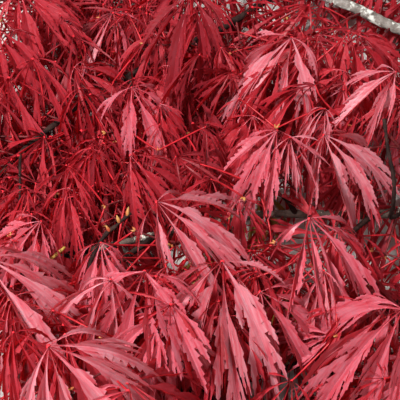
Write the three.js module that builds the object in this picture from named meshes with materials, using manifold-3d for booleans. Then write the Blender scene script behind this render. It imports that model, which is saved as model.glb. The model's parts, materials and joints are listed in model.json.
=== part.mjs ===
// A cut, leafy branch of a laceleaf Japanese maple, laid down on a level surface.
// Millimetres, +Z up. The stem's cut end points to +X, and the leaves trail towards -Y.
import * as THREE from "three";
import { mergeVertices } from "three/addons/utils/BufferGeometryUtils.js";
import Module from "manifold-3d";

const wasm = await Module();
wasm.setup();

const seed = 2026;
const clearance = 0.3; // between pieces that meet
const surfaceLift = 0.6; // the lowest that a lobe's rib lies above the surface
const degree = Math.PI / 180;
const up = new THREE.Vector3(0, 0, 1);

const colours = { greyBark: 0x8d8379, darkBark: 0x4d3a33, leaves: 0xb0243c };

// Limbs. A course runs from the thick end to the tip. The stem is the trunk of the branch.
const limbs = {
  stem: {
    course: [
      [330, 96, 5.4], [240, 128, 18], [133, 165, 32], [97, 184, 37],
      [20, 214, 41], [-50, 222, 43], [-96, 214, 46],
    ],
    thickEnd: 5.2,
    thinEnd: 1.9,
    sides: 10,
    stations: 18,
  },
  long_bough: {
    from: "stem",
    course: [[252, 124, 17], [200, 58, 27], [117, 17, 34], [29, 10, 40], [-44, -10, 42], [-84, -24, 46]],
    thickEnd: 3.6,
    thinEnd: 1.6,
    sides: 8,
    stations: 14,
  },
  front_bough: {
    from: "long_bough",
    course: [[168, 38, 30], [128, -26, 34], [70, -76, 38], [0, -100, 42], [-50, -108, 50]],
    thickEnd: 2.6,
    thinEnd: 1.5,
    sides: 7,
    stations: 11,
  },
  back_bough: {
    from: "stem",
    course: [[60, 199, 39], [14, 158, 40], [-44, 118, 40], [-98, 66, 42], [-118, 34, 46]],
    thickEnd: 2.5,
    thinEnd: 1.5,
    sides: 7,
    stations: 10,
  },
};

// Masses of foliage. Each grows from its own side bough on a limb, or from the limb's tip.
// leaves: the leaves that are placed by hand, as [x, y, z of the hub, heading in degrees, longest lobe].
const masses = [
  { name: "near_left", limb: "front_bough", atTip: true, leaves: [[-67, -120, 128, -40, 82]] },
  { name: "left_front", limb: "long_bough", atTip: true, leaves: [[-104, -64, 112, -12, 76]] },
  { name: "centre_left", limb: "long_bough", leaves: [[-22, -25, 104, -28, 66], [-50, -46, 98, -75, 50]] },
  { name: "centre_front", limb: "front_bough", leaves: [[-27, -69, 108, -88, 64]] },
  { name: "front_middle", limb: "front_bough", leaves: [[11, -61, 104, -86, 70], [30, -70, 90, -52, 58]] },
  { name: "right_front", limb: "long_bough", leaves: [[55, -38, 108, -62, 62]] },
  { name: "right_edge", limb: "front_bough", leaves: [[96, -90, 108, -142, 72]] },
  { name: "left_middle", limb: "long_bough", leaves: [[-82, -31, 95, -100, 54], [-71, -2, 84, -60, 44]] },
  { name: "centre_back", limb: "long_bough", leaves: [[-38, 17, 88, -42, 60]] },
  { name: "middle", limb: "long_bough", leaves: [[42, 28, 96, -112, 62], [30, 48, 84, -96, 52]] },
  { name: "right_back", limb: "long_bough", leaves: [[110, 67, 100, -148, 62], [84, 78, 88, -110, 52]] },
  { name: "top_right", limb: "stem", leaves: [[53, 95, 98, -98, 60], [89, 110, 88, -50, 58]] },
  { name: "top_centre", limb: "back_bough", leaves: [[-5, 126, 102, -112, 68]] },
  { name: "left_back", limb: "back_bough", leaves: [[-40, 78, 74, -62, 58], [-76, 101, 66, -25, 56]] },
  { name: "top_left", limb: "stem", atTip: true, leaves: [[-111, 148, 84, -50, 62]] },
  { name: "front_edge", limb: "front_bough", leaves: [[47, -131, 88, -100, 62]] },
  { name: "front_left", limb: "front_bough", leaves: [[-16, -146, 80, -80, 62]] },
  { name: "front_right", limb: "front_bough", leaves: [[122, -122, 78, -60, 58]] },
  { name: "far_left", limb: "back_bough", atTip: true, leaves: [[-147, 2, 80, -150, 58]] },
  { name: "left_corner", limb: "long_bough", leaves: [[-124, -104, 80, -132, 58]] },
  { name: "far_back", limb: "stem", leaves: [[-20, 246, 66, 96, 54]] },
  { name: "back_right", limb: "stem", leaves: [[88, 222, 72, 66, 56]] },
  { name: "right_side", limb: "long_bough", leaves: [[168, -18, 72, -24, 58]] },
  { name: "right_top", limb: "stem", leaves: [[166, 116, 72, -60, 58]] },
];

// Twigs and leaf stalks.
const sideBough = {
  thickEnd: 1.9,
  thinEnd: 1.25,
  sides: 5,
  stations: 4,
  share: 0.5, // of the way from its fork to the twig's tip
  backwards: 0.65, // how far down the limb its fork lies, as a share of its distance from the limb
  arch: 5,
};
const twig = { thickEnd: 1.25, thinEnd: 0.8, sides: 3, stations: 4, bend: 0.4 };
const stalk = { radius: 0.75, length: 34, lean: -0.25, rise: 0.97, lowestHub: 15 };
const leafNodes = [1, 0.78, 0.54, 0.3]; // where the pairs of leaves stand along a twig, from its tip down
const stagger = 0.1; // between the two roots of a pair, as a share of the twig
const leavesPerMass = 5;
const nudge = { tries: 40, shift: 1.2, turn: 3 }; // millimetres and degrees for each further try

// A leaf: narrow lobes that fan out from a hub and hang down, folded along their ribs.
const leaf = {
  lobeAngles: [0, 28, -28, 58, -58, 98, -98],
  lobeLengths: [1, 0.95, 0.95, 0.78, 0.78, 0.44, 0.44],
  widest: 0.6, // where a lobe is widest, as a share of its length
  halfWidth: 0.1, // as a share of the lobe's length
  fold: 24 * degree,
  thickness: 1.2,
  hubThickness: 2.2,
  hubRadius: 3.2,
  backGap: 40, // degrees between the outermost lobes and the hub's open back
};

// A number from 0 to 1 that depends only on its whole-number keys.
function chance(...keys) {
  let h = seed;
  for (const key of keys) {
    h = Math.imul(h ^ key, 0x9e3779b1);
    h ^= h >>> 15;
    h = Math.imul(h, 0x85ebca6b);
    h ^= h >>> 13;
  }
  return (h >>> 0) / 4294967296;
}

function spread(middle, reach, ...keys) {
  return middle + reach * (2 * chance(...keys) - 1);
}

function toSolid(geometry) {
  const bare = new THREE.BufferGeometry();
  bare.setAttribute("position", geometry.getAttribute("position"));
  bare.setIndex(geometry.getIndex());
  const merged = mergeVertices(bare, 1e-3);
  const triVerts = Array.from(merged.index.array);
  const vertProperties = merged.attributes.position.array;
  const build = (faces) =>
    new wasm.Manifold(new wasm.Mesh({ numProp: 3, vertProperties, triVerts: new Uint32Array(faces) }));
  const made = build(triVerts);
  if (made.volume() > 0) return made;
  const turned = [];
  for (let i = 0; i < triVerts.length; i += 3) turned.push(triVerts[i], triVerts[i + 2], triVerts[i + 1]);
  return build(turned);
}

function toGeometry(solid) {
  const mesh = solid.getMesh();
  const positions = new Float32Array(mesh.numVert * 3);
  for (let i = 0; i < mesh.numVert; i++) {
    const first = i * mesh.numProp;
    positions.set(mesh.vertProperties.subarray(first, first + 3), i * 3);
  }
  const geometry = new THREE.BufferGeometry();
  geometry.setAttribute("position", new THREE.BufferAttribute(positions, 3));
  geometry.setIndex(new THREE.BufferAttribute(mesh.triVerts, 1));
  geometry.computeVertexNormals();
  return geometry;
}

// A round limb that tapers along a curve: a lathed rod, bent station by station.
function taperedLimb(curve, { thickEnd, thinEnd, sides, stations }, extra = 0) {
  const profile = [new THREE.Vector2(0, 0)];
  for (let k = 0; k <= stations; k++) {
    const radius = THREE.MathUtils.lerp(thickEnd, thinEnd, k / stations) + extra;
    profile.push(new THREE.Vector2(radius, k));
  }
  profile.push(new THREE.Vector2(0, stations));
  const rod = new THREE.LatheGeometry(profile, sides);
  const frames = curve.computeFrenetFrames(stations, false);
  const place = rod.getAttribute("position");
  for (let i = 0; i < place.count; i++) {
    const station = Math.round(place.getY(i));
    const bent = curve.getPointAt(station / stations);
    bent.addScaledVector(frames.normals[station], place.getX(i));
    bent.addScaledVector(frames.binormals[station], place.getZ(i));
    place.setXYZ(i, bent.x, bent.y, bent.z);
  }
  return toSolid(rod);
}

// What is left of a limb once the limb that it grows from, with its clearance, is cut away.
function cutBack(solid, curve, limb) {
  const parts = solid.subtract(taperedLimb(curve, limb, clearance)).decompose();
  return parts.reduce((largest, part) => (part.volume() > largest.volume() ? part : largest));
}

function archedCurve(start, end, lift) {
  const crown = start.clone().lerp(end, 0.5).addScaledVector(up, lift);
  return new THREE.QuadraticBezierCurve3(start, crown, end);
}

function headingVector(angle) {
  return new THREE.Vector3(Math.cos(angle * degree), Math.sin(angle * degree), 0);
}

// Where a lobe's rib runs: straight out of the hub, then over and down, and flat where it meets the surface.
function ribPoint(blade, direction, length, share) {
  const out = length * share * (1 - 0.35 * blade.droop * share);
  const fall = length * 0.9 * blade.droop * share * share;
  const point = blade.hub.clone().addScaledVector(direction, out).addScaledVector(up, -fall);
  point.z = Math.max(point.z, surfaceLift + blade.lie);
  return point;
}

// One closed solid: a lens-shaped kite for each lobe round a hub, and the three-sided stalk under it.
function leafSolid(blade) {
  const ahead = headingVector(blade.heading);
  const side = new THREE.Vector3().crossVectors(up, ahead);
  ahead.applyAxisAngle(side, blade.pitch * degree);
  const normal = new THREE.Vector3().crossVectors(ahead, side);
  const inPlane = (angle) =>
    ahead.clone().multiplyScalar(Math.cos(angle * degree)).addScaledVector(side, Math.sin(angle * degree));
  const near = Math.sign(blade.root.clone().sub(blade.hub).dot(normal)); // the side that the stalk is on
  const points = [];
  const faces = [];
  const addPoint = (p) => points.push(p) - 1;
  const hubPoint = (direction, radius, height) =>
    addPoint(blade.hub.clone().addScaledVector(direction, radius).addScaledVector(normal, height));
  const apex = hubPoint(ahead, 0, (-near * leaf.hubThickness) / 2);
  const lobes = leaf.lobeAngles.map((angle, i) => [angle, leaf.lobeLengths[i]]);
  lobes.sort((a, b) => a[0] - b[0]);
  const notch = (i) => {
    const before = i ? lobes[i - 1][0] : lobes[0][0] - leaf.backGap;
    const after = i < lobes.length ? lobes[i][0] : lobes[i - 1][0] + leaf.backGap;
    return hubPoint(inPlane((before + after) / 2), leaf.hubRadius, 0);
  };
  const nearLoop = [notch(0)]; // round the hub on the stalk's side
  lobes.forEach(([angle, share], i) => {
    const direction = inPlane(angle);
    const length = blade.size * share;
    const middle = ribPoint(blade, direction, length, leaf.widest);
    const along = ribPoint(blade, direction, length, leaf.widest + 0.1).sub(middle).normalize();
    const across = new THREE.Vector3().crossVectors(normal, along).normalize();
    const above = new THREE.Vector3().crossVectors(along, across);
    const reach = length * leaf.halfWidth;
    const edge = (sign) =>
      middle.clone()
        .addScaledVector(across, sign * reach * Math.cos(leaf.fold))
        .addScaledVector(above, reach * Math.sin(leaf.fold));
    const farRib = addPoint(middle.clone().addScaledVector(above, (-near * leaf.thickness) / 2));
    const nearRib = addPoint(middle.clone().addScaledVector(above, (near * leaf.thickness) / 2));
    const [right, left] = [addPoint(edge(-1)), addPoint(edge(1))];
    const tip = addPoint(ribPoint(blade, direction, length, 1));
    const first = nearLoop.at(-1);
    const last = notch(i + 1);
    faces.push([apex, first, right], [apex, right, farRib], [apex, farRib, left], [apex, left, last]);
    faces.push([farRib, right, tip], [farRib, tip, left], [nearRib, tip, right], [nearRib, left, tip]);
    nearLoop.push(right, nearRib, left, last);
  });
  nearLoop.push(apex);
  const stalkSides = [-120, 0, 120];
  const ring = (place, a, b) =>
    stalkSides.map((angle) =>
      addPoint(place.clone()
        .addScaledVector(a, stalk.radius * Math.cos(angle * degree))
        .addScaledVector(b, stalk.radius * Math.sin(angle * degree))));
  const down = blade.root.clone().sub(blade.hub).normalize();
  const turn = new THREE.Quaternion().setFromUnitVectors(normal.clone().multiplyScalar(near), down);
  const collar = ring(blade.hub.clone().addScaledVector(normal, (near * leaf.hubThickness) / 2), ahead, side);
  const foot = ring(blade.root, ahead.clone().applyQuaternion(turn), side.clone().applyQuaternion(turn));
  nearLoop.forEach((point, j) => {
    const arc = Math.floor((j * stalkSides.length) / nearLoop.length);
    const next = (j + 1) % nearLoop.length;
    const nextArc = Math.floor((next * stalkSides.length) / nearLoop.length);
    faces.push([collar[arc], nearLoop[next], point]);
    if (nextArc !== arc) faces.push([collar[arc], collar[nextArc], nearLoop[next]]);
  });
  stalkSides.forEach((_, a) => {
    const b = (a + 1) % stalkSides.length;
    faces.push([collar[b], collar[a], foot[a]], [collar[b], foot[a], foot[b]]);
  });
  faces.push(foot.toReversed());
  const geometry = new THREE.BufferGeometry().setFromPoints(points);
  geometry.setIndex(faces.flat());
  return toSolid(geometry);
}

// The point of a limb that a side bough leaves, so that it leans towards the limb's tip.
function forkOn(curve, target) {
  const steps = 60;
  let nearest = 0;
  for (let k = 0; k <= steps; k++) {
    const here = curve.getPointAt(k / steps).distanceTo(target);
    if (here < curve.getPointAt(nearest / steps).distanceTo(target)) nearest = k;
  }
  const away = curve.getPointAt(nearest / steps).distanceTo(target);
  const share = nearest / steps - (sideBough.backwards * away) / curve.getLength();
  return THREE.MathUtils.clamp(share, 0.06, 0.94);
}

// The leaves of a mass, by the seeded rule: the hand-placed ones, then pairs down the twig.
function leavesOf(mass, index, curve) {
  const found = [];
  const [, , , leadHeading, leadSize] = mass.leaves[0];
  mass.leaves.forEach(([x, y, z, heading, size], k) => {
    found.push({
      root: curve.getPointAt(1 - stagger * k),
      hub: new THREE.Vector3(x, y, z),
      heading,
      size,
      pitch: spread(14, 6, index, k, 1),
      droop: spread(0.55, 0.12, index, k, 2),
      lie: chance(index, k, 3),
    });
  });
  leafNodes.forEach((share, j) => {
    const along = curve.getTangentAt(share);
    const side = new THREE.Vector3().crossVectors(along, up).normalize();
    const rise = new THREE.Vector3().crossVectors(side, along);
    const roll = (90 * (j % 2) + spread(20, 22, index, j, 4)) * degree;
    for (const way of [1, -1]) {
      if (share === 1 && (way === 1 || mass.leaves.length > 1)) continue;
      const key = 2 * j + (way + 1) / 2 + 8;
      const root = curve.getPointAt(way === 1 ? share : share - stagger);
      const lean = along.clone().multiplyScalar(0.55)
        .addScaledVector(side, way * Math.cos(roll))
        .addScaledVector(rise, way * Math.sin(roll));
      lean.z += 0.3;
      const reach = stalk.length * spread(0.85, 0.2, index, key, 5);
      const hub = root.clone().addScaledVector(lean.normalize(), reach);
      hub.z = Math.max(hub.z, stalk.lowestHub);
      const turn = -way * Math.abs(Math.cos(roll)) * spread(38, 16, index, key, 6);
      found.push({
        root,
        hub,
        heading: leadHeading + turn + spread(0, 16, index, key, 7),
        size: leadSize * spread(0.78, 0.12, index, key, 8),
        pitch: spread(16, 10, index, key, 9),
        droop: spread(0.5, 0.2, index, key, 10),
        lie: chance(index, key, 11),
      });
    }
  });
  return found;
}

const curves = {};
const limbSolids = {};
for (const [name, limb] of Object.entries(limbs)) {
  curves[name] = new THREE.CatmullRomCurve3(limb.course.map((p) => new THREE.Vector3(...p)));
  const whole = taperedLimb(curves[name], limb);
  limbSolids[name] = limb.from ? cutBack(whole, curves[limb.from], limbs[limb.from]) : whole;
}

// What is already in place, so that each new piece keeps clear of it.
const placed = [];

function put(solid, owner, kind) {
  placed.push({ solid, owner, kind, box: solid.boundingBox() });
}

function boxesMeet(a, b, gap) {
  return [0, 1, 2].every((i) => a.min[i] - gap < b.max[i] && b.min[i] - gap < a.max[i]);
}

function isClear(solid, ignored) {
  const box = solid.boundingBox();
  return placed.every((other) => {
    if (ignored(other) || !boxesMeet(box, other.box, clearance)) return true;
    return solid.minGap(other.solid, 1) > clearance;
  });
}

for (const [name, solid] of Object.entries(limbSolids)) put(solid, name, "limb");

// Each mass starts as a side bough, cut back from its limb, and a twig that ends below its first leaf.
const grown = masses.map((mass, index) => {
  const [x, y, z, heading] = mass.leaves[0];
  const hub = new THREE.Vector3(x, y, z);
  const toHub = headingVector(heading).multiplyScalar(stalk.lean);
  toHub.addScaledVector(up, stalk.rise).normalize();
  const twigTip = hub.addScaledVector(toHub, -stalk.length);
  const limbCurve = curves[mass.limb];
  let twigStart = limbCurve.getPointAt(1);
  let leaving = limbCurve.getTangentAt(1);
  let startRadius = limbs[mass.limb].thinEnd;
  let bough = null;
  if (!mass.atTip) {
    const fork = limbCurve.getPointAt(forkOn(limbCurve, twigTip));
    const boughTip = fork.clone().lerp(twigTip, sideBough.share);
    const boughCurve = archedCurve(fork, boughTip, sideBough.arch);
    bough = cutBack(taperedLimb(boughCurve, sideBough), limbCurve, limbs[mass.limb]);
    twigStart = boughTip;
    leaving = boughCurve.getTangentAt(1);
    startRadius = sideBough.thinEnd;
  }
  const start = twigStart.clone().addScaledVector(leaving, clearance);
  const bend = start.clone().addScaledVector(leaving, start.distanceTo(twigTip) * twig.bend);
  const curve = new THREE.QuadraticBezierCurve3(start, bend, twigTip);
  const stem = taperedLimb(curve, { ...twig, thickEnd: Math.min(twig.thickEnd, startRadius) });
  return { mass, index, bough, twig: stem, solid: stem, kept: 0, leaves: leavesOf(mass, index, curve) };
});

for (const g of grown) {
  if (g.bough) put(g.bough, g.mass.name, "bough");
  put(g.twig, g.mass.name, "twig");
}

// A leaf that would touch another piece is nudged a few times, and then skipped.
function nudged(blade, g, k, step) {
  if (!step) return blade;
  const hub = blade.hub.clone();
  hub.x += spread(0, step * nudge.shift, g.index, k, step, 20);
  hub.y += spread(0, step * nudge.shift, g.index, k, step, 21);
  hub.z = Math.max(hub.z + spread(0, step * nudge.shift, g.index, k, step, 22), stalk.lowestHub);
  return { ...blade, hub, heading: blade.heading + spread(0, step * nudge.turn, g.index, k, step, 23) };
}

function tryLeaf(g, k, step) {
  const body = leafSolid(nudged(g.leaves[k], g, k, step));
  if (!isClear(body, (o) => o.owner === g.mass.name && o.kind === "twig")) return false;
  put(body, g.mass.name, "leaf");
  g.solid = g.solid.add(body);
  g.kept += 1;
  return true;
}

const mostLeaves = Math.max(...grown.map((g) => g.leaves.length));
for (let k = 0; k < mostLeaves; k++)
  for (const g of grown)
    if (g.leaves[k] && g.kept < leavesPerMass) {
      let step = 0;
      while (step < nudge.tries && !tryLeaf(g, k, step)) step += 1;
    }

// The pieces, moved so that the middle of the whole's underside is the origin.
const pieces = Object.entries(limbSolids).map(([name, solid]) => {
  return { name, solid, colour: name === "stem" ? colours.greyBark : colours.darkBark, roughness: 0.85 };
});
for (const g of grown) {
  const { name } = g.mass;
  const wood = { name: `${name}_side_bough`, solid: g.bough, colour: colours.darkBark, roughness: 0.85 };
  if (g.bough) pieces.push(wood);
  pieces.push({ name: `${name}_foliage`, solid: g.solid, colour: colours.leaves, roughness: 0.55 });
}
const boxes = pieces.map((piece) => piece.solid.boundingBox());
const low = [0, 1, 2].map((i) => Math.min(...boxes.map((box) => box.min[i])));
const high = [0, 1, 2].map((i) => Math.max(...boxes.map((box) => box.max[i])));
const shift = [-(low[0] + high[0]) / 2, -(low[1] + high[1]) / 2, -low[2]];

const group = new THREE.Group();
for (const { name, solid, colour, roughness } of pieces) {
  const material = new THREE.MeshStandardMaterial({ color: colour, roughness });
  const mesh = new THREE.Mesh(toGeometry(solid.translate(shift)), material);
  mesh.name = name;
  group.add(mesh);
}

export default group;
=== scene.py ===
import json
import math

import bmesh
import bpy
import numpy as np
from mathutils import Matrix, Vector, noise


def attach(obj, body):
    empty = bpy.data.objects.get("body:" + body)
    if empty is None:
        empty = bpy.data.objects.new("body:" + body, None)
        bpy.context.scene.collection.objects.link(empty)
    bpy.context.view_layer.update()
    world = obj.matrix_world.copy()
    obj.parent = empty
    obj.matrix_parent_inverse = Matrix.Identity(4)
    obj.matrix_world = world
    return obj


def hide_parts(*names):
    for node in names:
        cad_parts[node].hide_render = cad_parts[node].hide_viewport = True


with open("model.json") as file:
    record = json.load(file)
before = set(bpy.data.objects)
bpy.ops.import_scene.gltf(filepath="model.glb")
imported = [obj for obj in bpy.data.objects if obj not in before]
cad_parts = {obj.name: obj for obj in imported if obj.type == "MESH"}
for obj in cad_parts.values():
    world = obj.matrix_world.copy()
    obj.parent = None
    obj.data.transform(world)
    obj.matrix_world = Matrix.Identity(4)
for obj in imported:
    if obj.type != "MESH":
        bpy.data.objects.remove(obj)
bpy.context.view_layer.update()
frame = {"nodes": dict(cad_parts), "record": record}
print("frame loaded")

# Everything is drawn in millimetres in the plan's own axes, and moved to the frame when a mesh is made.
planCutEnd = (330, 96, 5.4)
cutEnd = next(m for m in frame["record"]["mounts"] if m["name"] == "cut_end")
planShift = np.array(cutEnd["pos_m"]) - np.array(planCutEnd) / 1000
up = np.array([0.0, 0.0, 1.0])
seed = 2026
headingStep = 0.01  # shares of a course, and of a leaf's lobe, over which its direction is taken
ribStep = 0.02
curveSteps = 40  # between two corners of a course


def chance(*keys):
    # a number from 0 to 1 that depends only on its whole-number keys, the last of which tells the draws of
    # one thing apart
    h = seed
    for key in keys:
        h = ((h ^ key) * 0x9E3779B1) & 0xFFFFFFFF
        h ^= h >> 15
        h = (h * 0x85EBCA6B) & 0xFFFFFFFF
        h ^= h >> 13
    return h / 4294967296


def spread(middle, reach, *keys):
    # a number up to the reach either side of the middle
    return middle + reach * (2 * chance(*keys) - 1)


def unit(v):
    return v / np.linalg.norm(v)


def headingVector(angle):
    return np.array([math.cos(math.radians(angle)), math.sin(math.radians(angle)), 0.0])


class Course:
    # a smooth line whose points are asked for by their share of its length
    def __init__(self, dense):
        self.dense = dense
        steps = np.linalg.norm(np.diff(dense, axis=0), axis=1)
        self.run = np.concatenate([[0], np.cumsum(steps)])
        self.length = self.run[-1]

    def at(self, share):
        place = np.clip(share, 0, 1) * self.length
        return np.stack([np.interp(place, self.run, self.dense[:, i]) for i in range(3)], axis=-1)

    def heading(self, share):
        return unit(self.at(min(share + headingStep, 1)) - self.at(max(share - headingStep, 0)))


def courseThrough(corners):
    # a curve through all the corners, that turns no faster than their spacing asks
    p = [np.array(c, float) for c in corners]
    p = [2 * p[0] - p[1], *p, 2 * p[-1] - p[-2]]
    dense = []
    for a, b, c, d in zip(p, p[1:], p[2:], p[3:]):
        s0, s1, s2 = (math.sqrt(np.linalg.norm(q - r)) for q, r in ((b, a), (c, b), (d, c)))
        out = ((b - a) / s0 - (c - a) / (s0 + s1) + (c - b) / s1) * s1
        into = ((c - b) / s1 - (d - b) / (s1 + s2) + (d - c) / s2) * s1
        t = np.linspace(0, 1, curveSteps)[:, None]
        bulge = 3 * (c - b) - 2 * out - into
        dense.append(b + out * t + bulge * t**2 + (2 * (b - c) + out + into) * t**3)
    dense = [dense[0]] + [part[1:] for part in dense[1:]]
    return Course(np.concatenate(dense))


def bentCourse(start, middle, end, steps=24):
    # a plain bend from start to end, drawn towards the middle
    t = np.linspace(0, 1, steps)[:, None]
    return Course((1 - t) ** 2 * start + 2 * t * (1 - t) * middle + t**2 * end)


# Limbs: the stem and the boughs, each with its course from the thick end to the tip. Short leafy twigs
# stand along each: how far apart and how long they are, how high their leaves may rise over the limb, the
# leaves' size, and where on such a twig its inner pair of leaves stands.
limbs = {
    "stem": {
        "course": [
            planCutEnd, (240, 128, 18), (133, 165, 32), (97, 184, 37),
            (20, 214, 41), (-50, 222, 43), (-96, 214, 46),
        ],
        "thick": 5.2, "thin": 1.9, "sides": 40, "step": 1.6, "relief": 0.42, "barkShare": 0.14,
        "shootStep": 10.5, "shootLength": 36, "cover": 14, "shootSize": 64, "inner": 0.55,
    },
    "long_bough": {
        "course": [
            (252, 124, 17), (200, 58, 27), (117, 17, 34), (29, 10, 40), (-44, -10, 42), (-84, -24, 46),
        ],
        "thick": 3.6, "thin": 1.6, "sides": 28, "step": 1.5, "relief": 0.3,
        "shootStep": 17, "shootLength": 32, "cover": 12, "shootSize": 54, "inner": 0.55,
    },
    "front_bough": {
        "course": [(168, 38, 30), (128, -26, 34), (70, -76, 38), (0, -100, 42), (-50, -108, 50)],
        "thick": 2.6, "thin": 1.5, "sides": 22, "step": 1.5, "relief": 0.2,
        "shootStep": 17, "shootLength": 32, "cover": 14, "shootSize": 54, "inner": 0.55,
    },
    "back_bough": {
        "course": [(60, 199, 39), (14, 158, 40), (-44, 118, 40), (-98, 66, 42), (-118, 34, 46)],
        "thick": 2.5, "thin": 1.5, "sides": 22, "step": 1.5, "relief": 0.2,
        "shootStep": 4.8, "shootLength": 42, "cover": 30, "shootSize": 68, "inner": 0.3,
    },
}
courses = {name: courseThrough(limb["course"]) for name, limb in limbs.items()}

# Masses of foliage: the limb, whether it grows from the limb's tip, and the leaves given one by one,
# as (x, y, z of the hub, heading in degrees, longest lobe).
masses = [
    ("near_left", "front_bough", True, [(-67, -120, 128, -38, 92)]),
    ("left_front", "long_bough", True, [(-104, -64, 112, -27, 90)]),
    ("centre_left", "long_bough", False, [(-22, -25, 104, -38, 73), (-50, -46, 98, -88, 46)]),
    ("centre_front", "front_bough", False, [(-27, -69, 108, -88, 74)]),
    ("front_middle", "front_bough", False, [(11, -61, 104, -86, 88), (30, -70, 90, -52, 72)]),
    ("right_front", "long_bough", False, [(55, -38, 108, -62, 72)]),
    ("right_edge", "front_bough", False, [(96, -90, 108, -142, 80)]),
    ("left_middle", "long_bough", False, [(-82, -31, 95, -136, 54), (-71, -2, 84, -74, 46)]),
    ("centre_back", "long_bough", False, [(-38, 17, 88, -42, 60)]),
    ("middle", "long_bough", False,
     [(42, 28, 96, -112, 56), (30, 48, 84, -110, 54), (68, 28, 92, -44, 60)]),
    ("right_back", "long_bough", False,
     [(110, 67, 100, -142, 52), (84, 78, 88, -110, 52), (108, 106, 76, -125, 56)]),
    ("top_right", "stem", False, [(53, 95, 98, -120, 82), (89, 110, 88, -50, 58), (72, 118, 76, -95, 54)]),
    ("top_centre", "back_bough", False, [(-5, 126, 102, -104, 66)]),
    ("left_back", "back_bough", False, [(-40, 78, 74, -62, 58), (-76, 101, 66, -25, 56)]),
    ("top_left", "stem", True,
     [(-111, 148, 84, -50, 60), (-126, 126, 74, -50, 60), (-128, 146, 66, -48, 60)]),
    ("front_edge", "front_bough", False, [(47, -131, 88, -100, 62)]),
    ("front_left", "front_bough", False, [(-16, -146, 80, -80, 62)]),
    ("front_right", "front_bough", False, [(122, -122, 78, -60, 58)]),
    ("far_left", "back_bough", True, [(-147, 2, 80, -150, 58)]),
    ("left_corner", "long_bough", False, [(-124, -104, 80, -132, 58)]),
    ("far_back", "stem", False, [(-20, 246, 66, 96, 54)]),
    ("back_right", "stem", False, [(88, 222, 72, 66, 56)]),
    ("right_side", "long_bough", False, [(168, -18, 72, -24, 58)]),
    ("right_top", "stem", False, [(166, 116, 72, -60, 58)]),
]
sideBough = {
    "thick": 1.9, "thin": 1.25, "share": 0.5, "backwards": 0.65, "arch": 5, "forks": (0.06, 0.94),
    "tries": 61, "stations": 14, "sides": 12,
}
massTwig = {"thick": 1.25, "thin": 0.8, "bend": 0.4}
fineTwig = {"thin": 0.5, "lowestTip": 8, "stations": 10, "sides": 6}
stalk = {
    "radius": 0.62, "thin": 0.85, "length": 34, "reach": (0.85, 0.2), "lean": -0.25, "rise": 0.97,
    "lowestHub": 15, "bend": 0.3, "arch": 1.5, "curveSteps": 12, "stations": 7, "sides": 5,
}
leafNodes = [1, 0.72, 0.42]  # where the pairs of leaves stand along a mass's twig
stagger = 0.1  # the second leaf of a pair, or the next listed one, stands this share further back
firstPairKey = 8  # listed leaves have lower keys
pair = {"forward": 0.55, "lift": 0.3, "turn": (38, 16), "roll": (20, 22)}
shoots = {  # the finer twigs of a mass
    "shares": [0.78, 0.52, 0.26], "length": 26, "radius": 0.75, "firstKey": 40, "lift": -0.05,
    "forward": 0.5, "aside": (0.9, 0.3), "rise": (0.05, 0.35), "reach": (1, 0.3), "inner": 0.5,
    "roll": (40, 40), "fan": 30, "straight": 6, "bend": 8,
}
limbShoots = {  # the short twigs along a limb; their inner leaves turn to the sun
    "first": 0.2, "last": 0.99, "radius": 0.8, "firstKey": 300, "sunHeading": -80, "forward": (0.4, 0.3),
    "hang": (0.15, 0.3), "reach": (1, 0.3), "arch": 3, "roll": (30, 30), "coverReach": 8,
}
keysEach = 8  # numbers kept for the leaves of one twig
# How the leaves differ, each as a middle and a reach either way. Sizes are shares of the given one.
leafKinds = {
    "pair": {"heading": (0, 16), "size": (0.66, 0.12), "pitch": (22, 12), "droop": (0.58, 0.2)},
    "shoot": {"heading": (0, 40), "size": (0.66, 0.14), "pitch": (34, 30), "droop": (0.6, 0.3)},
    "limb": {"heading": (0, 40), "size": (1, 0.16), "pitch": (26, 26), "droop": (0.55, 0.28)},
}
handLeaf = {"pitch": (18, 6), "droop": (0.6, 0.12), "roll": (0, 14)}
anyLeaf = {"roll": (0, 30), "width": (1, 0.15), "cut": (1, 0.25)}


def forkOn(course, target):
    # where a side bough leaves its limb: some way back from the limb's nearest point to the target
    shares = np.linspace(0, 1, sideBough["tries"])
    away = np.linalg.norm(course.at(shares) - target, axis=1)
    nearest = int(np.argmin(away))
    back = sideBough["backwards"] * away[nearest] / course.length
    return float(np.clip(shares[nearest] - back, *sideBough["forks"]))


def pairAt(root, along, way, roll, keys, lift=pair["lift"]):
    # the hub of one leaf of a pair that stands out from a twig, and how far the leaf turns aside
    side = unit(np.cross(along, up))
    rise = np.cross(side, along)
    lean = along * pair["forward"] + side * way * math.cos(roll) + rise * way * math.sin(roll)
    lean[2] += lift
    hub = root + unit(lean) * stalk["length"] * spread(*stalk["reach"], *keys, 5)
    hub[2] = max(hub[2], stalk["lowestHub"])
    turn = -way * abs(math.cos(roll)) * spread(*pair["turn"], *keys, 6)
    return hub, turn


def newLeaf(kind, root, hub, heading, size, keys):
    varied = leafKinds[kind]
    return {
        "root": root, "hub": hub, "heading": heading + spread(*varied["heading"], *keys, 7),
        "size": size * spread(*varied["size"], *keys, 8), "pitch": spread(*varied["pitch"], *keys, 9),
        "droop": spread(*varied["droop"], *keys, 10), "lie": chance(*keys, 11), "keys": keys,
    }


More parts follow.
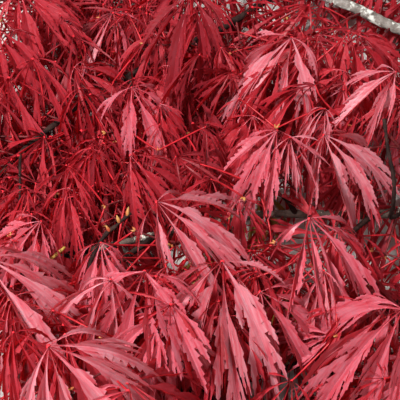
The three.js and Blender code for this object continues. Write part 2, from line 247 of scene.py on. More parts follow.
def leavesOf(index, handLeaves, course):
    found = []
    leadHeading, leadSize = handLeaves[0][3:]
    for k, (x, y, z, heading, size) in enumerate(handLeaves):
        found.append({
            "root": course.at(1 - stagger * k), "hub": np.array([x, y, z], float),
            "heading": heading, "size": size, "pitch": spread(*handLeaf["pitch"], index, k, 1),
            "droop": spread(*handLeaf["droop"], index, k, 2), "lie": chance(index, k, 3),
            "keys": (index, k),
        })
    for j, share in enumerate(leafNodes):
        along = course.heading(share)
        roll = math.radians(90 * (j % 2) + spread(*pair["roll"], index, j, 4))
        for way in (1, -1):
            if share == 1 and (way == 1 or len(handLeaves) > 1):
                continue
            keys = (index, firstPairKey + 2 * j + (way + 1) // 2)
            root = course.at(share if way == 1 else share - stagger)
            hub, turn = pairAt(root, along, way, roll, keys)
            found.append(newLeaf("pair", root, hub, leadHeading + turn, leadSize, keys))
    return found


def shootsOf(index, handLeaves, course):
    # finer twigs off the mass's twig, each with a pair of leaves at its end and one halfway
    twigs, found = [], []
    leadHeading, leadSize = handLeaves[0][3:]
    for j, share in enumerate(shoots["shares"]):
        key = shoots["firstKey"] + keysEach * j
        along = course.heading(share)
        side = unit(np.cross(along, up))
        way = 1 if j % 2 else -1
        lean = along * shoots["forward"] + side * way * spread(*shoots["aside"], index, key, 30)
        lean[2] += spread(*shoots["rise"], index, key, 31)
        start = course.at(share)
        tip = start + unit(lean) * shoots["length"] * spread(*shoots["reach"], index, key, 32)
        tip[2] = max(tip[2], fineTwig["lowestTip"])
        twig = bentCourse(start, start + along * shoots["straight"] + unit(lean) * shoots["bend"], tip)
        twigs.append(twig)
        inner = shoots["inner"]
        for k, (place, leafWay) in enumerate(((1, 1), (1, -1), (inner, 1), (inner, -1))):
            keys = (index, key + 1 + k)
            roll = math.radians(spread(*shoots["roll"], *keys, 4))
            hub, turn = pairAt(twig.at(place), twig.heading(place), leafWay, roll, keys, shoots["lift"])
            heading = leadHeading + turn + way * shoots["fan"]
            found.append(newLeaf("shoot", twig.at(place), hub, heading, leadSize, keys))
    return twigs, found


def shootsAlong(number, limb, course):
    # short twigs that hang from a limb, each with two pairs of leaves
    twigs, found = [], []
    shares = np.arange(limbShoots["first"], limbShoots["last"], limb["shootStep"] / course.length)
    for j, share in enumerate(shares):
        key = limbShoots["firstKey"] + keysEach * j
        along = course.heading(share)
        side = unit(np.cross(along, up))
        way = 1 if j % 2 else -1
        lean = along * spread(*limbShoots["forward"], number, key, 30) + side * way
        lean = lean - up * spread(*limbShoots["hang"], number, key, 31)
        start = course.at(share)
        tip = start + unit(lean) * limb["shootLength"] * spread(*limbShoots["reach"], number, key, 32)
        tip[2] = max(tip[2], fineTwig["lowestTip"])
        twig = bentCourse(start, start + (tip - start) / 2 + up * limbShoots["arch"], tip)
        twigs.append(twig)
        outward = math.degrees(math.atan2(lean[1], lean[0]))
        inner = limb["inner"]
        for k, (place, leafWay) in enumerate(((1, 1), (1, -1), (inner, 1), (inner, -1))):
            keys = (number, key + 1 + k)
            roll = math.radians(spread(*limbShoots["roll"], *keys, 4))
            hub, turn = pairAt(twig.at(place), twig.heading(place), leafWay, roll, keys)
            highest = start[2] + limb["cover"] + spread(0, limbShoots["coverReach"], *keys, 12)
            hub[2] = min(hub[2], highest)
            heading = (outward if place == 1 else limbShoots["sunHeading"]) + turn
            found.append(newLeaf("limb", twig.at(place), hub, heading, limb["shootSize"], keys))
    return twigs, found


# Leaf blades. A lobe is a strip folded along its rib, with small teeth, and with fingers that split off
# and point forward. Places on a lobe are shares of its length: how far along, and how far to the side.
blade = {
    "lobes": [(0, 1.0), (25, 0.94), (52, 0.77), (88, 0.48)],  # degrees off the middle, length
    "widths": [
        (0, 0.009), (0.1, 0.012), (0.2, 0.022), (0.3, 0.038), (0.4, 0.049), (0.5, 0.046), (0.6, 0.04),
        (0.7, 0.035), (0.8, 0.026), (0.9, 0.015), (1, 0),
    ],
    "firstKey": 60, "turn": (0, 8), "length": (0.97, 0.12), "droop": (1, 0.45), "sideDroop": 0.35,
    "sickle": (0, 0.12), "sideSickle": 0.13, "twist": (0, 55), "fold": 48, "foldShare": (1, 0.4),
    "width": (1, 0.15), "baseFold": 32, "baseEnd": 0.4, "shortened": 0.35, "fall": 0.9, "thickness": 0.36,
    "lowestRib": 0.6, "lowest": 0.3,
}
teeth = {  # notches and points as shares of the width there; points lean towards the next notch
    "start": 0.3, "notch": 0.79, "point": 1.02, "pointMore": 0.46, "least": 0.003, "lean": 0.85,
    "last": 0.97,
}
fingers = {
    # where each leaves the rib, where it ends, how far aside, and its width
    "each": [(0.36, 0.77, 0.122, 0.028), (0.21, 0.59, 0.112, 0.027), (0.55, 0.93, 0.1, 0.022)],
    "widths": [(0, 0.5), (0.3, 0.95), (0.55, 1), (0.78, 0.66), (1, 0)],
    "firstKey": 20, "rootReach": 0.06, "rootAside": 0.006, "grown": (0.95, 0.25), "missing": 0.16,
    "stub": 0.4, "asideReach": 0.18, "bow": 0.014, "sag": 0.03, "sunk": 0.3,
}
leafMap = {"middle": 0.5, "times": 3}  # the material finds the rib at the middle, and the edges further out
# Where the strips have corners, how many fingers each lobe has on each side, and which strips have ribs.
detail = {
    "near": {
        "strip": np.linspace(0, 0.93, 15), "finger": np.array([0, 0.2, 0.4, 0.58, 0.75, 0.9]),
        "fingersOf": (3, 3, 2, 1), "ribs": "all",
    },
    "middle": {
        "strip": np.linspace(0, 0.91, 10), "finger": np.array([0, 0.28, 0.54, 0.79]),
        "fingersOf": (3, 2, 2, 1), "ribs": "lobes",
    },
    "plain": {
        "strip": np.array([0, 0.15, 0.31, 0.47, 0.64, 0.82]), "finger": np.array([0, 0.4, 0.74]),
        "fingersOf": (1, 1, 1, 0), "ribs": "",
    },
}


def stripLists(count):
    # corner numbers of one strip: the rib above and below, the notches and teeth of each side, the tip
    def corner(row, k):
        return row * count + k
    above, below, tip = 0, 1, 6 * count
    faces, sharp = [], []
    for k in range(count):
        for side, flip in ((2, 1), (4, -1)):
            notch, tooth = corner(side, k), corner(side + 1, k)
            last = k == count - 1
            nextNotch = tip if last else corner(side, k + 1)
            for rib, turn in ((above, flip), (below, -flip)):
                here = corner(rib, k)
                if last:
                    found = [(here, tip, tooth), (here, tooth, notch)]
                else:
                    ahead = corner(rib, k + 1)
                    found = [(here, ahead, tooth), (here, tooth, notch), (ahead, nextNotch, tooth)]
                faces += [face if turn == 1 else face[::-1] for face in found]
            sharp += [(notch, tooth), (tooth, nextNotch)]
        if k < count - 1:
            sharp += [(corner(rib, k), corner(rib, k + 1)) for rib in (above, below)]
    sharp += [(corner(rib, count - 1), tip) for rib in (above, below)]
    base = [corner(row, 0) for row in (above, 2, below, 4)]
    faces += [(base[0], base[2], base[1]), (base[0], base[3], base[2])]
    return np.array(faces), np.array(sharp)


def waysOf(angle):
    return (1, -1) if angle else (1,)


def leafLists(level):
    faces, sharp, first = [], [], 0
    for (angle, _), pairs in zip(blade["lobes"], level["fingersOf"]):
        counts = [len(level["strip"])] + [len(level["finger"])] * 2 * pairs
        for count in counts * len(waysOf(angle)):
            stripFaces, stripSharp = stripLists(count)
            faces.append(stripFaces + first)
            sharp.append(stripSharp + first)
            first += 6 * count + 1
    return np.concatenate(faces), np.concatenate(sharp)


def bladeFrame(leaf):
    ahead = headingVector(leaf["heading"])
    side = np.cross(up, ahead)
    pitch, roll = math.radians(leaf["pitch"]), math.radians(leaf["roll"])
    ahead = ahead * math.cos(pitch) - up * math.sin(pitch)
    normal = np.cross(ahead, side)
    side = side * math.cos(roll) + normal * math.sin(roll)
    return ahead, side, np.cross(ahead, side)


def lobesOf(leaf):
    # each lobe of one leaf: its direction, length and small differences
    ahead, side, normal = bladeFrame(leaf)
    found = []
    for n, (angle, share) in enumerate(blade["lobes"]):
        for way in waysOf(angle):
            keys = (*leaf["keys"], blade["firstKey"] + 2 * n + (way + 1) // 2)
            turn = math.radians(way * angle + spread(*blade["turn"], *keys, 1))
            droop = leaf["droop"] * spread(*blade["droop"], *keys, 3)
            found.append({
                "direction": ahead * math.cos(turn) + side * math.sin(turn),
                "length": leaf["size"] * share * spread(*blade["length"], *keys, 2),
                "droop": droop * (1 + blade["sideDroop"] * math.sin(turn) ** 2),
                "sickle": spread(*blade["sickle"], *keys, 4) - blade["sideSickle"] * math.sin(turn),
                "twist": math.radians(spread(*blade["twist"], *keys, 5)),
                "fold": math.radians(blade["fold"] * spread(*blade["foldShare"], *keys, 6)),
                "width": leaf["width"] * spread(*blade["width"], *keys, 7),
                "keys": keys, "number": n, "cut": leaf["cut"],
            })
    return found, normal


def ribLine(leaf, lobe, normal, t):
    # the middle line of a lobe, which bends down and aside towards its tip and stays above the floor
    reach = lobe["length"]
    out = reach * t * (1 - blade["shortened"] * lobe["droop"] * t)
    fall = reach * blade["fall"] * lobe["droop"] * t**2
    aside = unit(np.cross(normal, lobe["direction"])) * lobe["sickle"] * reach
    line = leaf["hub"] + lobe["direction"] * out[..., None] - up * fall[..., None]
    line = line + aside * (t**2)[..., None]
    line[..., 2] = np.maximum(line[..., 2], blade["lowestRib"] + leaf["lie"])
    return line


def lobeSurface(leaf, lobe, normal, t, across, lift=0.0):
    # points beside the rib: across is how far to the side, and the fold raises it
    rib = ribLine(leaf, lobe, normal, t)
    along = ribLine(leaf, lobe, normal, t + ribStep) - ribLine(leaf, lobe, normal, t - ribStep)
    along /= np.linalg.norm(along, axis=-1, keepdims=True)
    wide = np.cross(normal, along)
    wide /= np.linalg.norm(wide, axis=-1, keepdims=True)
    tall = np.cross(along, wide)
    turn = (lobe["twist"] * t)[..., None]
    wide, tall = wide * np.cos(turn) + tall * np.sin(turn), tall * np.cos(turn) - wide * np.sin(turn)
    fold = lobe["fold"] + math.radians(blade["baseFold"]) * np.clip(1 - t / blade["baseEnd"], 0, 1)
    rise = np.abs(across) * np.sin(fold) + lift
    points = rib + wide * (across * np.cos(fold))[..., None] + tall * rise[..., None]
    points[..., 2] = np.maximum(points[..., 2], blade["lowest"])
    return points


def profile(table, s):
    places, values = zip(*table)
    return np.interp(s, places, values)


def stripPlaces(stations, start, end, bow, widths, width, keys):
    # places on the lobe of one strip's corners, in the order that stripLists numbers them
    line = end - start
    aside = np.array([-line[1], line[0]]) / np.linalg.norm(line)
    ahead = np.append(stations[1:], 1.0)
    toothed = stations >= teeth["start"]

    def place(s, out):
        return start + line * s[:, None] + aside * (out + bow * 4 * s * (1 - s))[:, None]

    rows = [place(stations, np.zeros(len(stations)))] * 2
    for way in (1, -1):
        draws = np.array([chance(*keys, 10 + way, k) for k in range(len(stations))])
        jags = np.where(toothed, teeth["point"] + teeth["pointMore"] * draws, 1)
        notch = profile(widths, stations) * width * np.where(toothed, teeth["notch"], 1)
        point = np.where(toothed, stations + (ahead - stations) * teeth["lean"], (stations + ahead) / 2)
        point = np.minimum(point, teeth["last"])
        tooth = profile(widths, point) * width * jags + np.where(toothed, teeth["least"], 0)
        rows += [place(stations, way * notch), place(point, way * tooth)]
    return np.concatenate([*rows, place(np.array([1.0]), np.zeros(1))])


def lobePlaces(lobe, level):
    # for each strip of one lobe: places on it, how far they lie above or below its folded surface in
    # millimetres, and how many corners its rib has
    half = blade["thickness"] / 2
    widened = np.array([1, lobe["width"]])

    def thick(count):
        return np.concatenate([np.full(count, half), np.full(count, -half), np.zeros(4 * count + 1)])

    count = len(level["strip"])
    whole = np.array([1.0, 0.0])
    strip = stripPlaces(level["strip"], np.zeros(2), whole, 0, blade["widths"], 1, lobe["keys"])
    found = [(strip * widened, thick(count), count)]
    count = len(level["finger"])
    grownHere = fingers["each"][:level["fingersOf"][lobe["number"]]]
    for f, (root, tip, aside, width) in enumerate(grownHere):
        for way in (1, -1):
            keys = (*lobe["keys"], fingers["firstKey"] + 2 * f + way)
            start = np.array([spread(root, fingers["rootReach"], *keys, 1), fingers["rootAside"] * way])
            isGrown = chance(*keys, 4) > fingers["missing"]
            share = spread(*fingers["grown"], *keys, 2) if isGrown else fingers["stub"]
            splay = spread(lobe["cut"], fingers["asideReach"], *keys, 3)
            line = np.array([tip - root, (aside - fingers["rootAside"]) * way * splay]) * share
            finger = stripPlaces(
                level["finger"], start, start + line, fingers["bow"] * way, fingers["widths"], width, keys,
            )
            out = np.clip((finger - start) @ line / (line @ line), 0, 1)
            lift = thick(count) - fingers["sag"] * lobe["length"] * out**2 - fingers["sunk"] * (1 - out)
            found.append((finger * widened, lift, count))
    return found


def makeBlade(leaf, level):
    # corners of one leaf, their places for the material, and the lines that its ribs follow
    lobes, normal = lobesOf(leaf)
    points, marks, ribLines = [], [], []
    for lobe in lobes:
        strips = lobePlaces(lobe, level)
        places = np.concatenate([strip for strip, _, _ in strips])
        lifts = np.concatenate([lift for _, lift, _ in strips])
        points.append(lobeSurface(leaf, lobe, normal, places[:, 0], places[:, 1] * lobe["length"], lifts))
        marks.append(np.stack([places[:, 0], leafMap["middle"] + leafMap["times"] * places[:, 1]], axis=-1))
        ribbed = {"all": strips, "lobes": strips[:1], "": []}[level["ribs"]]
        ribLines += [(lobe, strip[:count:2], lift[:count:2]) for strip, lift, count in ribbed]
    return np.concatenate(points), np.concatenate(marks), ribLines, normal


# Places where the photo looks through between the leaves: how near the line of sight through the place no
# leaf of the rule may come, and the height above which that holds.
openings = [
    {"place": (-28, -29, 80), "radius": 10, "lowest": 46},
    {"place": (-44, -22, 84), "radius": 9, "lowest": 46},
    {"place": (44, -28, 80), "radius": 3, "lowest": 50},
    {"place": (97, -38, 80), "radius": 4, "lowest": 40},
    {"place": (105, 4, 84), "radius": 4, "lowest": 84},
    {"place": (101, 22, 96), "radius": 4, "lowest": 96},
    {"place": (-76, -44, 82), "radius": 5, "lowest": 82},
]
testPlaces = np.linspace(0.15, 0.95, 6)  # along each lobe
view = {"target": (0, 0, 70), "elevation": 55, "distance": 600, "halfWidth": 110, "sensor": 36}
tilt = math.radians(view["elevation"])
viewBack = np.array([0, -math.cos(tilt), math.sin(tilt)])
eye = np.array(view["target"]) + viewBack * view["distance"]


def coversOpening(leaf):
    lobes, normal = lobesOf(leaf)
    points = np.concatenate([ribLine(leaf, lobe, normal, testPlaces) for lobe in lobes])
    for opening in openings:
        sight = unit(np.array(opening["place"]) - eye)
        beyond = points - eye
        aside = np.linalg.norm(beyond - np.outer(beyond @ sight, sight), axis=1)
        if np.any((aside < opening["radius"]) & (points[:, 2] > opening["lowest"])):
            return True
    return False


# Leaves further back than behindFrom are narrower.
leafWidths = {"near": 1.12, "middle": 1, "plain": 0.9, "behindFrom": 100, "behindShare": 0.82}


def levelOf(leaf):
    # listed leaves are drawn finest, and those on the finer twigs plainest
    key = leaf["keys"][1]
    if key < firstPairKey:
        return "near"
    return "middle" if key < shoots["firstKey"] else "plain"


print("growing the masses")
sideBoughs, twigs, leaves = [], [], []
for index, (_, limbName, atTip, handLeaves) in enumerate(masses):
    x, y, z, heading, _ = handLeaves[0]
    toHub = unit(headingVector(heading) * stalk["lean"] + up * stalk["rise"])
    twigTip = np.array([x, y, z]) - toHub * stalk["length"]
    limbCourse = courses[limbName]
    twigStart, leaving = limbCourse.at(1), limbCourse.heading(1)
    if not atTip:
        fork = limbCourse.at(forkOn(limbCourse, twigTip))
        boughTip = fork + (twigTip - fork) * sideBough["share"]
        boughCourse = bentCourse(fork, (fork + boughTip) / 2 + up * sideBough["arch"], boughTip)
        sideBoughs.append(boughCourse)
        twigStart, leaving = boughTip, boughCourse.heading(1)
    bend = twigStart + leaving * np.linalg.norm(twigTip - twigStart) * massTwig["bend"]
    course = bentCourse(twigStart, bend, twigTip)
    twigs.append((course, massTwig["thick"], massTwig["thin"]))
    leaves += leavesOf(index, handLeaves, course)
    fine, more = shootsOf(index, handLeaves, course)
    twigs += [(twig, shoots["radius"], fineTwig["thin"]) for twig in fine]
    leaves += more
for number, (limbName, limb) in enumerate(limbs.items()):
    fine, more = shootsAlong(len(masses) + number, limb, courses[limbName])
    twigs += [(twig, limbShoots["radius"], fineTwig["thin"]) for twig in fine]
    leaves += more
for leaf in leaves:
    wide = leafWidths[levelOf(leaf)]
    if leaf["hub"][1] > leafWidths["behindFrom"]:
        wide *= leafWidths["behindShare"]
    leaf["width"] = wide * spread(*anyLeaf["width"], *leaf["keys"], 20)
    leaf["cut"] = spread(*anyLeaf["cut"], *leaf["keys"], 22)
    roll = handLeaf["roll"] if levelOf(leaf) == "near" else anyLeaf["roll"]
    leaf["roll"] = spread(*roll, *leaf["keys"], 21)
leaves = [leaf for leaf in leaves if levelOf(leaf) == "near" or not coversOpening(leaf)]
print(len(leaves), "leaves,", len(twigs), "twigs")


class Heap:
    # many small things gathered into one mesh
    def __init__(self):
        self.places, self.faces, self.marks, self.sharp, self.count = [], [], [], [], 0

    def add(self, places, faces, marks=None, sharp=None):
        self.places.append(places)
        self.faces.append(faces + self.count)
        if marks is not None:
            self.marks.append(marks)
        if sharp is not None:
            self.sharp.append(sharp + self.count)
        self.count += len(places)


def toFrame(points):
    return np.asarray(points) / 1000 + planShift


def makePiece(name, heap, material, smooth=True):
    places = toFrame(np.concatenate(heap.places)).astype(np.float32)
    faces = np.concatenate(heap.faces).astype(np.int32)
    mesh = bpy.data.meshes.new(name)
    mesh.vertices.add(len(places))
    mesh.vertices.foreach_set("co", places.ravel())
    mesh.loops.add(faces.size)
    mesh.loops.foreach_set("vertex_index", faces.ravel())
    mesh.polygons.add(len(faces))
    mesh.polygons.foreach_set("loop_start", np.arange(len(faces), dtype=np.int32) * 3)
    mesh.polygons.foreach_set("use_smooth", np.full(len(faces), smooth))
    mesh.update(calc_edges=True)
    if heap.sharp:
        ends = np.empty(len(mesh.edges) * 2, np.int32)
        mesh.edges.foreach_get("vertices", ends)
        ends = np.sort(ends.reshape(-1, 2).astype(np.int64), axis=1)
        wanted = np.sort(np.concatenate(heap.sharp).astype(np.int64), axis=1)
        isSharp = np.isin(ends[:, 0] * heap.count + ends[:, 1], wanted[:, 0] * heap.count + wanted[:, 1])
        mesh.edges.foreach_set("use_edge_sharp", isSharp)
    if heap.marks:
        layer = mesh.uv_layers.new(name="leafPlace")
        layer.data.foreach_set("uv", np.concatenate(heap.marks)[faces.ravel()].astype(np.float32).ravel())
    mesh.validate()
    mesh.materials.append(material)
    piece = bpy.data.objects.new(name, mesh)
    bpy.context.scene.collection.objects.link(piece)
    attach(piece, "root")
    print(name, len(faces), "triangles")
    return piece


def tubeLists(rings, sides):
    faces = []
    for k in range(rings - 1):
        for a in range(sides):
            b = (a + 1) % sides
            low, high = k * sides, (k + 1) * sides
            faces += [(low + a, low + b, high + b), (low + a, high + b, high + a)]
    first, last = rings * sides, rings * sides + 1
    for a in range(sides):
        b = (a + 1) % sides
        faces += [(first, b, a), (last, (rings - 1) * sides + a, (rings - 1) * sides + b)]
    return np.array(faces)


mostlyAlong = 0.7  # a rod that runs this much along x gets its ring from y instead


def makeTube(points, radii, sides):
    # a closed round rod along the points
    points = np.asarray(points)
    along = np.gradient(points, axis=0)
    along /= np.linalg.norm(along, axis=1, keepdims=True)
    mostlyX = abs(along[:, 0]).mean() >= mostlyAlong
    guide = np.array([0.0, 1, 0]) if mostlyX else np.array([1.0, 0, 0])
    a = np.cross(along, guide)
    a /= np.linalg.norm(a, axis=1, keepdims=True)
    b = np.cross(along, a)
    turn = np.arange(sides) * 2 * math.pi / sides
    ring = a[:, None] * np.cos(turn)[None, :, None] + b[:, None] * np.sin(turn)[None, :, None]
    places = points[:, None] + ring * np.asarray(radii)[:, None, None]
    return np.concatenate([places.reshape(-1, 3), points[:1], points[-1:]]), tubeLists(len(points), sides)


# Materials.
def newMaterial(name):
    material = bpy.data.materials.new(name)
    material.use_nodes = True
    nodes, links = material.node_tree.nodes, material.node_tree.links
    return material, nodes, links, nodes["Principled BSDF"]


def noiseNode(nodes, links, scale, detail=4.0, roughness=0.55, source=None):
    if source is None:
        source = nodes.new("ShaderNodeTexCoord").outputs["Object"]
    texture = nodes.new("ShaderNodeTexNoise")
    texture.inputs["Scale"].default_value = scale
    texture.inputs["Detail"].default_value = detail
    texture.inputs["Roughness"].default_value = roughness
    links.new(source, texture.inputs["Vector"])
    return texture.outputs["Fac"]


def rampNode(nodes, links, value, stops):
    ramp = nodes.new("ShaderNodeValToRGB")
    while len(ramp.color_ramp.elements) < len(stops):
        ramp.color_ramp.elements.new(0.5)
    for element, (place, colour) in zip(ramp.color_ramp.elements, stops):
        element.position = place
        element.color = (*colour, 1)
    links.new(value, ramp.inputs["Fac"])
    return ramp.outputs["Color"]


def bumpNode(nodes, links, height, strength, distance):
    bump = nodes.new("ShaderNodeBump")
    bump.inputs["Strength"].default_value = strength
    bump.inputs["Distance"].default_value = distance
    links.new(height, bump.inputs["Height"])
    return bump.outputs["Normal"]


def mathNode(nodes, links, operation, first, second=None):
    node = nodes.new("ShaderNodeMath")
    node.operation = operation
    for socket, value in zip(node.inputs, (first, second)):
        if value is None:
            continue
        if isinstance(value, (int, float)):
            socket.default_value = value
        else:
            links.new(value, socket)
    return node.outputs[0]


def scaled(colour, shares):
    return tuple(min(c * share, 1) for c, share in zip(colour, shares))


# The dark and pale streak colours are random tone and partly painted light: the pale, pinker end is painted
# sheen and the dark, deep red end painted shade.
leafSkin = {
    "through": 0.5, "roughness": 0.5, "specular": 0.3, "coatRoughness": 0.52, "coatIor": 1.9,
    "veins": 105, "veinSlant": 22, "veinRise": 0.16, "grain": 900, "bump": 0.3, "bumpDepth": 0.0003,
    "streaks": (4, 13), "wander": 9, "wanderTimes": 14,
    "dark": (0.36, (0.9, 0.42, 0.5)), "plain": 0.5, "pale": (0.62, (1.04, 1.55, 1.45)),
}


def leafMaterial(name, colour, glow, sheen):
    # long streaks and slanting veins that follow each lobe, and light that comes through from behind; the
    # pale, pinker streaks are partly painted sheen and the deep red ones partly painted shade, the rest
    # random tone
    material, nodes, links, shader = newMaterial(name)
    place = nodes.new("ShaderNodeUVMap")
    place.uv_map = "leafPlace"
    parts = nodes.new("ShaderNodeSeparateXYZ")
    links.new(place.outputs["UV"], parts.inputs[0])
    along, across = parts.outputs["X"], parts.outputs["Y"]
    offRib = mathNode(nodes, links, "SUBTRACT", across, leafMap["middle"])
    offRib = mathNode(nodes, links, "ABSOLUTE", offRib)
    slant = mathNode(nodes, links, "MULTIPLY", offRib, leafSkin["veinSlant"])
    rows = mathNode(nodes, links, "MULTIPLY", along, leafSkin["veins"])
    veins = mathNode(nodes, links, "SINE", mathNode(nodes, links, "SUBTRACT", rows, slant))
    wander = noiseNode(nodes, links, leafSkin["wander"], detail=1)
    streak = nodes.new("ShaderNodeCombineXYZ")
    times = (*leafSkin["streaks"], leafSkin["wanderTimes"])
    for socket, source, factor in zip(streak.inputs, (along, across, wander), times):
        links.new(mathNode(nodes, links, "MULTIPLY", source, factor), socket)
    patches = noiseNode(nodes, links, 1, detail=4, roughness=0.6, source=streak.outputs[0])
    (darkPlace, darker), (palePlace, paler) = leafSkin["dark"], leafSkin["pale"]
    tint = rampNode(nodes, links, patches, [
        (darkPlace, scaled(colour, darker)), (leafSkin["plain"], colour),
        (palePlace, scaled(colour, paler)),
    ])
    links.new(tint, shader.inputs["Base Color"])
    shader.inputs["Roughness"].default_value = leafSkin["roughness"]
    shader.inputs["Specular IOR Level"].default_value = leafSkin["specular"]
    shader.inputs["Coat Weight"].default_value = sheen
    shader.inputs["Coat Roughness"].default_value = leafSkin["coatRoughness"]
    shader.inputs["Coat IOR"].default_value = leafSkin["coatIor"]
    raised = mathNode(nodes, links, "MULTIPLY", veins, leafSkin["veinRise"])
    relief = mathNode(nodes, links, "ADD", raised, noiseNode(nodes, links, leafSkin["grain"], detail=2))
    normal = bumpNode(nodes, links, relief, leafSkin["bump"], leafSkin["bumpDepth"])
    links.new(normal, shader.inputs["Normal"])
    links.new(normal, shader.inputs["Coat Normal"])
    passing = nodes.new("ShaderNodeBsdfTranslucent")
    passing.inputs["Color"].default_value = (*glow, 1)
    mix = nodes.new("ShaderNodeMixShader")
    mix.inputs["Fac"].default_value = leafSkin["through"]
    links.new(shader.outputs[0], mix.inputs[1])
    links.new(passing.outputs[0], mix.inputs[2])
    links.new(mix.outputs[0], nodes["Material Output"].inputs["Surface"])
    return material


smoothSkin = {"low": 0.35, "high": 0.65, "specular": 0.25, "finer": 6, "bump": 0.25, "bumpDepth": 0.0003}


def stalkMaterial(name, low, high, scale, gloss):
    material, nodes, links, shader = newMaterial(name)
    stops = [(smoothSkin["low"], low), (smoothSkin["high"], high)]
    tint = rampNode(nodes, links, noiseNode(nodes, links, scale, detail=3), stops)
    links.new(tint, shader.inputs["Base Color"])
    shader.inputs["Roughness"].default_value = gloss
    shader.inputs["Specular IOR Level"].default_value = smoothSkin["specular"]
    fine = noiseNode(nodes, links, scale * smoothSkin["finer"], detail=3)
    normal = bumpNode(nodes, links, fine, smoothSkin["bump"], smoothSkin["bumpDepth"])
    links.new(normal, shader.inputs["Normal"])
    return material


bark = {
    "patches": 160, "dark": 0.3, "middle": 0.5, "pale": 0.72, "spotEdge": 0.06,
    "roughness": 0.78, "grain": 1100, "bump": 0.6, "bumpDepth": 0.0006,
}


def barkMaterial(name, dark, middle, pale, lichen, lichenShare, spotScale, shine):
    # bark in three shades, with pale spots of lichen over it
    material, nodes, links, shader = newMaterial(name)
    place = nodes.new("ShaderNodeTexCoord").outputs["Object"]
    patches = noiseNode(nodes, links, bark["patches"], detail=8, roughness=0.65, source=place)
    shades = [(bark["dark"], dark), (bark["middle"], middle), (bark["pale"], pale)]
    base = rampNode(nodes, links, patches, shades)
    edges = [(1 - lichenShare, (0, 0, 0)), (1 + bark["spotEdge"] - lichenShare, (1, 1, 1))]
    spotNoise = noiseNode(nodes, links, spotScale, detail=6, roughness=0.7, source=place)
    spots = rampNode(nodes, links, spotNoise, edges)
    mix = nodes.new("ShaderNodeMix")
    mix.data_type = "RGBA"
    links.new(spots, mix.inputs["Factor"])
    links.new(base, mix.inputs["A"])
    mix.inputs["B"].default_value = (*lichen, 1)
    links.new(mix.outputs["Result"], shader.inputs["Base Color"])
    shader.inputs["Roughness"].default_value = bark["roughness"]
    shader.inputs["Specular IOR Level"].default_value = shine
    fine = noiseNode(nodes, links, bark["grain"], detail=6, roughness=0.7, source=place)
    links.new(bumpNode(nodes, links, fine, bark["bump"], bark["bumpDepth"]), shader.inputs["Normal"])
    return material


freshCut = {
    "rings": 7000, "wobble": 500, "dark": (0.2, (0.42, 0.25, 0.12)), "pale": (0.8, (0.62, 0.44, 0.25)),
    "roughness": 0.7,
}


def cutMaterial():
    # pale fresh wood with rings round the middle of the cut
    material, nodes, links, shader = newMaterial("cutWood")
    place = nodes.new("ShaderNodeMapping")
    links.new(nodes.new("ShaderNodeTexCoord").outputs["Object"], place.inputs["Vector"])
    place.inputs["Location"].default_value = [-c for c in cutEnd["pos_m"]]
    away = nodes.new("ShaderNodeVectorMath")
    away.operation = "LENGTH"
    links.new(place.outputs["Vector"], away.inputs[0])
    wobble = noiseNode(nodes, links, freshCut["wobble"], detail=3)
    outward = mathNode(nodes, links, "MULTIPLY", away.outputs["Value"], freshCut["rings"])
    rings = mathNode(nodes, links, "SINE", mathNode(nodes, links, "ADD", outward, wobble))
    tint = rampNode(nodes, links, rings, [freshCut["dark"], freshCut["pale"]])
    links.new(tint, shader.inputs["Base Color"])
    shader.inputs["Roughness"].default_value = freshCut["roughness"]
    return material


barks = {
    "greyBark": {
        "dark": (0.06, 0.05, 0.04), "middle": (0.19, 0.165, 0.145), "pale": (0.36, 0.34, 0.31),
        "lichen": (0.66, 0.68, 0.62), "lichenShare": 0.46, "spotScale": 90, "shine": 0.4,
    },
    "mottledBark": {
        "dark": (0.03, 0.02, 0.016), "middle": (0.09, 0.062, 0.05), "pale": (0.2, 0.16, 0.13),
        "lichen": (0.6, 0.6, 0.52), "lichenShare": 0.45, "spotScale": 130, "shine": 0.3,
    },
    "darkBark": {
        "dark": (0.008, 0.004, 0.004), "middle": (0.02, 0.009, 0.008), "pale": (0.055, 0.028, 0.022),
        "lichen": (0.36, 0.36, 0.31), "lichenShare": 0.33, "spotScale": 520, "shine": 0.12,
    },
}
smoothSkins = {
    "twigBark": {"low": (0.07, 0.008, 0.01), "high": (0.18, 0.02, 0.022), "scale": 240, "gloss": 0.6},
    "youngBark": {"low": (0.30, 0.17, 0.03), "high": (0.55, 0.38, 0.09), "scale": 260, "gloss": 0.5},
    "leafStalk": {"low": (0.28, 0.007, 0.012), "high": (0.5, 0.018, 0.028), "scale": 120, "gloss": 0.4},
    "ribSkin": {"low": (0.66, 0.14, 0.18), "high": (0.76, 0.26, 0.3), "scale": 150, "gloss": 0.5},
    "hubSkin": {"low": (0.52, 0.008, 0.02), "high": (0.66, 0.02, 0.035), "scale": 200, "gloss": 0.6},
    "budSkin": {"low": (0.36, 0.05, 0.025), "high": (0.46, 0.26, 0.08), "scale": 300, "gloss": 0.4},
}
skins = {name: barkMaterial(name, **look) for name, look in barks.items()}
skins |= {name: stalkMaterial(name, **look) for name, look in smoothSkins.items()}
skins["cutWood"] = cutMaterial()
print("materials ready")


# Limbs with bark: a straight rod is drawn out of a ring, and then bent along the limb's course.
def straightRod(sides, stations):
    shape = bmesh.new()
    bmesh.ops.create_circle(shape, cap_ends=True, radius=1, segments=sides)
    firstCap, edges = shape.faces[:], shape.edges[:]
    for _ in range(stations):
        drawn = bmesh.ops.extrude_edge_only(shape, edges=edges)["geom"]
        ring = {g for g in drawn if isinstance(g, bmesh.types.BMVert)}
        bmesh.ops.translate(shape, verts=list(ring), vec=(0, 0, 1))
        edges = [g for g in drawn if isinstance(g, bmesh.types.BMEdge) and set(g.verts) <= ring]
    bmesh.ops.contextual_create(shape, geom=edges)
    bmesh.ops.recalc_face_normals(shape, faces=shape.faces)
    return shape, firstCap


rough = {"scale": 0.42, "fade": 0.8, "finer": 2.1, "layers": 5, "waves": 0.7, "waveScale": 0.16}
knots = {"count": 8, "shift": (0.5, 0.2), "rise": (0.16, 0.07), "length": 2.4}


